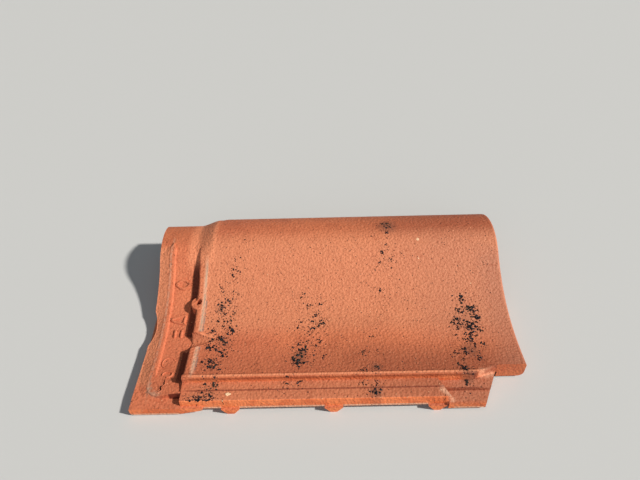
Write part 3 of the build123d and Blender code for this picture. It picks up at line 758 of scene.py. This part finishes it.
class TILE_OT_rib_coves(bpy.types.Operator):
    """Adds the soft hollow foot on both sides of the head rib, and round the corner of the head's floor"""

    bl_idname = "tile.rib_coves"
    bl_label = "Rib coves"

    def execute(self, context):
        far_y, fade, widest, wall = 176, 12, 9.0, 1.5
        level_within, margin = 0.6, 0.8
        middle = np.array([RIB_X + RIB_CORNER_R, FLOOR_Y + RIB_CORNER_R])
        turn = np.radians(np.linspace(180, 262, 24))
        y = np.linspace(far_y, middle[1] + 0.5, 110)
        straight = np.column_stack([np.full(len(y), RIB_X), y])
        arc = middle + RIB_CORNER_R * np.column_stack([np.cos(turn), np.sin(turn)])
        path = np.vstack([straight, arc])
        side = np.vstack([np.tile([-1.0, 0.0], (len(y), 1)), (arc - middle) / RIB_CORNER_R])
        # the outer cove is nearly as wide as the strip beside the rib is level
        reach = np.arange(1.0, 11.0, 0.5)
        strip = on_tile(*(straight - (1.0, 0.0)).T)[0]
        beyond_x = (RIB_X - reach[None, :] + 0 * y[:, None]).ravel()
        beyond = on_tile(beyond_x, np.repeat(y, len(reach)), beside=True)[0]
        level = np.abs(beyond.reshape(len(y), -1) - strip[:, None]) < level_within
        width = np.where(level, reach, 1.0).max(axis=1) - margin
        width = np.minimum(width, widest) * np.clip((far_y + 0.5 - y) / fade, 0.15, 1) ** 0.5
        width = np.concatenate([width, np.linspace(width[-1], 1.6, len(turn))])
        points, faces = cove(path - wall * side, side, width + wall, 0.0, 1.1)
        outer = (points, faces[:, ::-1])
        # the inner cove lies along the rib's other edge, in the angle with the head's floor
        y = np.linspace(174, 34, 100)
        path = np.column_stack([np.full(len(y), RIB_X + RIB_WIDTH), y])
        inner = cove(path, np.tile([1.0, 0.0], (len(y), 1)), np.full(len(y), 1.7), 0.9, 1.6)
        add_mesh("rib_coves", *joined([outer, inner]), TILE.data.materials[0])
        return {"FINISHED"}


class TILE_OT_screw_marks(bpy.types.Operator):
    """Adds the worn ring and the small slot left by two mould screws near the lock"""

    bl_idname = "tile.screw_marks"
    bl_label = "Screw marks"

    def execute(self, context):
        relief = context.scene.tile_look.relief / MM
        arcs = []
        for middle, reach, (first, last), share in SCREW_ARCS:
            turn = np.radians(np.linspace(first, last, 24))
            path = np.array(middle) + np.array(reach) * np.column_stack([np.cos(turn), np.sin(turn)])
            arcs.append(ridge(path, 1.8, share * relief))
        add_mesh("screw_marks", *joined(arcs), TILE.data.materials[0])
        return {"FINISHED"}


class TILE_OT_cracks(bpy.types.Operator):
    """Adds the firing crack in the corner, its raised lips, and two short cracks in the lock's side"""

    bl_idname = "tile.cracks"
    bl_label = "Firing cracks"

    def execute(self, context):
        dark = crack_shade(context.scene.tile_look)
        gaps = []
        for path, widths in (
            (FIRING_CRACK, FIRING_CRACK_WIDTH),
            (END_CRACK, END_CRACK_WIDTH),
            (NUB_CRACK, NUB_CRACK_WIDTH),
        ):
            line = np.column_stack([path, widths])
            gaps.append(ridge(line, 1.5, 0.14, across=5, sunk=0.02, step=0.35, round_ends=False))
        add_mesh("crack_gaps", *joined(gaps), dark)
        line = np.array(FIRING_CRACK)
        side = left_of(line) * (np.array(FIRING_CRACK_WIDTH)[:, None] / 2 + 0.45)
        lips = [ridge(line + way * side, 1.1, 0.3, across=5) for way in (-1, 1)]
        add_mesh("crack_lips", *joined(lips), TILE.data.materials[0])
        return {"FINISHED"}


class TILE_OT_lime_spots(bpy.types.Operator):
    """Adds the pale spots where lime grains burst the surface"""

    bl_idname = "tile.lime_spots"
    bl_label = "Lime spots"

    def execute(self, context):
        rng = np.random.default_rng(11)
        spots = np.array(LIME_SPOTS)
        # a wider spot is a heap of more and larger grains
        each = np.maximum(2, np.round(spots[:, 2] * 1.6).astype(int))
        middle = np.repeat(spots, each, axis=0)
        away = rng.normal(0, 0.24, (len(middle), 2)) * middle[:, 2:]
        radius = middle[:, 2] * rng.uniform(0.16, 0.34, len(middle))
        x, y = (middle[:, :2] + away).T
        points, faces = lumps(x, y, radius, 0.12 + 0.1 * radius, rng)
        add_mesh("lime_spots", points, faces, burst_lime(context.scene.tile_look))
        return {"FINISHED"}


class TILE_OT_lichen(bpy.types.Operator):
    """Adds the dark crumbs of lichen and soot: four drifts of patches, stray crumbs, and fine specks"""

    bl_idname = "tile.lichen"
    bl_label = "Lichen and soot"

    def execute(self, context):
        settings = context.scene.tile_look
        rng = np.random.default_rng(4)
        material = lichen_crust(settings)
        lock_edge_y, spread = 3.6, 5.0
        for number, drift in enumerate(DRIFTS, 1):
            patch = np.array(drift, float)
            # crumbs gather in the patches by their area, and stray ones round them by their width
            each = np.round((0.7 * patch[:, 2] ** 2 + 1.0) * settings.lichen_share).astype(int)
            middle = np.repeat(patch, each, axis=0)
            away = rng.normal(0, 0.5, (len(middle), 2)) * middle[:, 2:]
            radius = (0.68 + 0.10 * middle[:, 2]) * rng.uniform(0.45, 1.3, len(middle))
            stray = np.repeat(patch, np.round(4.5 * patch[:, 2] * settings.lichen_share).astype(int), axis=0)
            stray_away = rng.normal(0, spread, (len(stray), 2))
            xy = np.vstack([middle[:, :2] + away, stray[:, :2] + stray_away])
            radius = np.concatenate([radius, rng.uniform(0.3, 0.75, len(stray))])
            # crumbs beyond the edge of the lock are folded back on to it
            xy[:, 1] = lock_edge_y + np.abs(xy[:, 1] - lock_edge_y)
            points, faces = lumps(*xy.T, radius, 0.5 * radius, rng)
            add_mesh("lichen_drift_%d" % number, points, faces, material)
        # fine specks all over the body, fewer towards the crest, and none on the foot's near corner
        count = int(560 * settings.lichen_share)
        x = rng.uniform(LEDGE_X + 8, FOOT_X - 12, count)
        first_y = np.where(x > 125, 48, 24)
        y = first_y + 155 * rng.uniform(0, 1, count) ** 1.2
        points, faces = lumps(x, y, rng.uniform(0.3, 0.72, count), np.full(count, 0.2), rng, sides=6)
        add_mesh("soot_specks", points, faces, material)
        return {"FINISHED"}


def add_floor(scene):
    """Adds a wide level floor with pale matt paint, which is no piece of the tile."""
    material, _, shader = new_material("pale_floor_paint", roughness=0.9)
    shader.inputs["Base Color"].default_value = colour("#c9cbcb")
    mesh = bpy.data.meshes.new("floor")
    r = 6.0
    mesh.from_pydata([(-r, -r, 0), (r, -r, 0), (r, r, 0), (-r, r, 0)], [], [(0, 1, 2, 3)])
    mesh.materials.append(material)
    floor = bpy.data.objects.new("floor", mesh)
    scene.collection.objects.link(floor)


def light_world(scene):
    """Sets weak light from all round, while the camera alone sees a pale room behind the floor."""
    world = bpy.data.worlds.new("soft_room")
    scene.world = world
    world.use_nodes = True
    tree = world.node_tree
    light = tree.nodes["Background"]
    light.inputs["Color"].default_value = colour("#e6ecf2")
    light.inputs["Strength"].default_value = 0.16
    seen = node(tree, "ShaderNodeBackground", Color=colour("#d3d5d5"))
    by_camera = node(tree, "ShaderNodeLightPath").outputs["Is Camera Ray"]
    mixed = node(tree, "ShaderNodeMixShader", {0: by_camera, 1: light.outputs[0], 2: seen.outputs[0]})
    tree.links.new(mixed.outputs[0], tree.nodes["World Output"].inputs["Surface"])


def add_sun(scene, name, strength, spread, tint_rgb, towards):
    """Adds a sun lamp that shines from a direction, spread over an angle in degrees."""
    lamp = bpy.data.lights.new(name, "SUN")
    lamp.energy = strength
    lamp.angle = np.radians(spread)
    lamp.color = tint_rgb
    obj = bpy.data.objects.new(name, lamp)
    obj.rotation_mode = "QUATERNION"
    obj.rotation_quaternion = Vector(towards).to_track_quat("Z", "Y")
    scene.collection.objects.link(obj)


def add_camera(scene):
    """Adds the camera where the photograph was taken: forward from yaw and pitch, then rolled about it."""
    camera = bpy.data.cameras.new("camera")
    camera.sensor_width = SENSOR_WIDTH
    camera.lens = CAMERA_F * SENSOR_WIDTH / PHOTO_WIDTH
    camera.clip_start, camera.clip_end = 0.01, 50
    yaw, pitch, roll = CAMERA_ANGLES
    forward = np.array([np.sin(yaw) * np.cos(pitch), np.cos(yaw) * np.cos(pitch), -np.sin(pitch)])
    right = np.array([np.cos(yaw), -np.sin(yaw), 0])
    down = np.cross(forward, right)
    right, down = np.cos(roll) * right + np.sin(roll) * down, -np.sin(roll) * right + np.cos(roll) * down
    place = (CAMERA_POS + np.array([0, LOCK_Y, 0])) * MM
    axes_and_place = np.column_stack([right, -down, -forward, place])
    obj = bpy.data.objects.new("camera", camera)
    obj.matrix_world = Matrix([*axes_and_place.tolist(), [0, 0, 0, 1]])
    scene.collection.objects.link(obj)
    scene.camera = obj


class TILE_OT_stage(bpy.types.Operator):
    """Adds the floor, the soft lamps and the camera"""

    bl_idname = "tile.stage"
    bl_label = "Stage"

    def execute(self, context):
        scene = context.scene
        add_floor(scene)
        light_world(scene)
        add_sun(scene, "fill", 0.75, 70, (0.9, 0.95, 1.0), FILL_FROM)
        add_sun(scene, "key", 4.3, 4, (1.0, 0.95, 0.88), KEY_FROM)
        add_camera(scene)
        scene.view_settings.view_transform = "Standard"
        return {"FINISHED"}


class TILE_PT_panel(bpy.types.Panel):
    """Lists the tile's pieces in the sidebar"""

    bl_label = "Roof Tile"
    bl_idname = "TILE_PT_panel"
    bl_space_type = "VIEW_3D"
    bl_region_type = "UI"
    bl_category = "Roof Tile"

    def draw(self, context):
        for cls in OPERATORS:
            self.layout.operator(cls.bl_idname)


OPERATORS = (
    TILE_OT_clay,
    TILE_OT_rib_coves,
    TILE_OT_mould_marks,
    TILE_OT_screw_marks,
    TILE_OT_cracks,
    TILE_OT_lime_spots,
    TILE_OT_lichen,
    TILE_OT_stage,
)
CLASSES = (TileLook, *OPERATORS, TILE_PT_panel)


def register():
    for cls in CLASSES:
        bpy.utils.register_class(cls)
    bpy.types.Scene.tile_look = bpy.props.PointerProperty(type=TileLook)


def unregister():
    del bpy.types.Scene.tile_look
    for cls in reversed(CLASSES):
        bpy.utils.unregister_class(cls)


def main():
    register()
    bpy.ops.tile.clay()
    bpy.ops.tile.rib_coves()
    bpy.ops.tile.mould_marks()
    bpy.ops.tile.screw_marks()
    bpy.ops.tile.cracks()
    bpy.ops.tile.lime_spots()
    bpy.ops.tile.lichen()
    bpy.ops.tile.stage()


if __name__ == "__main__":
    main()
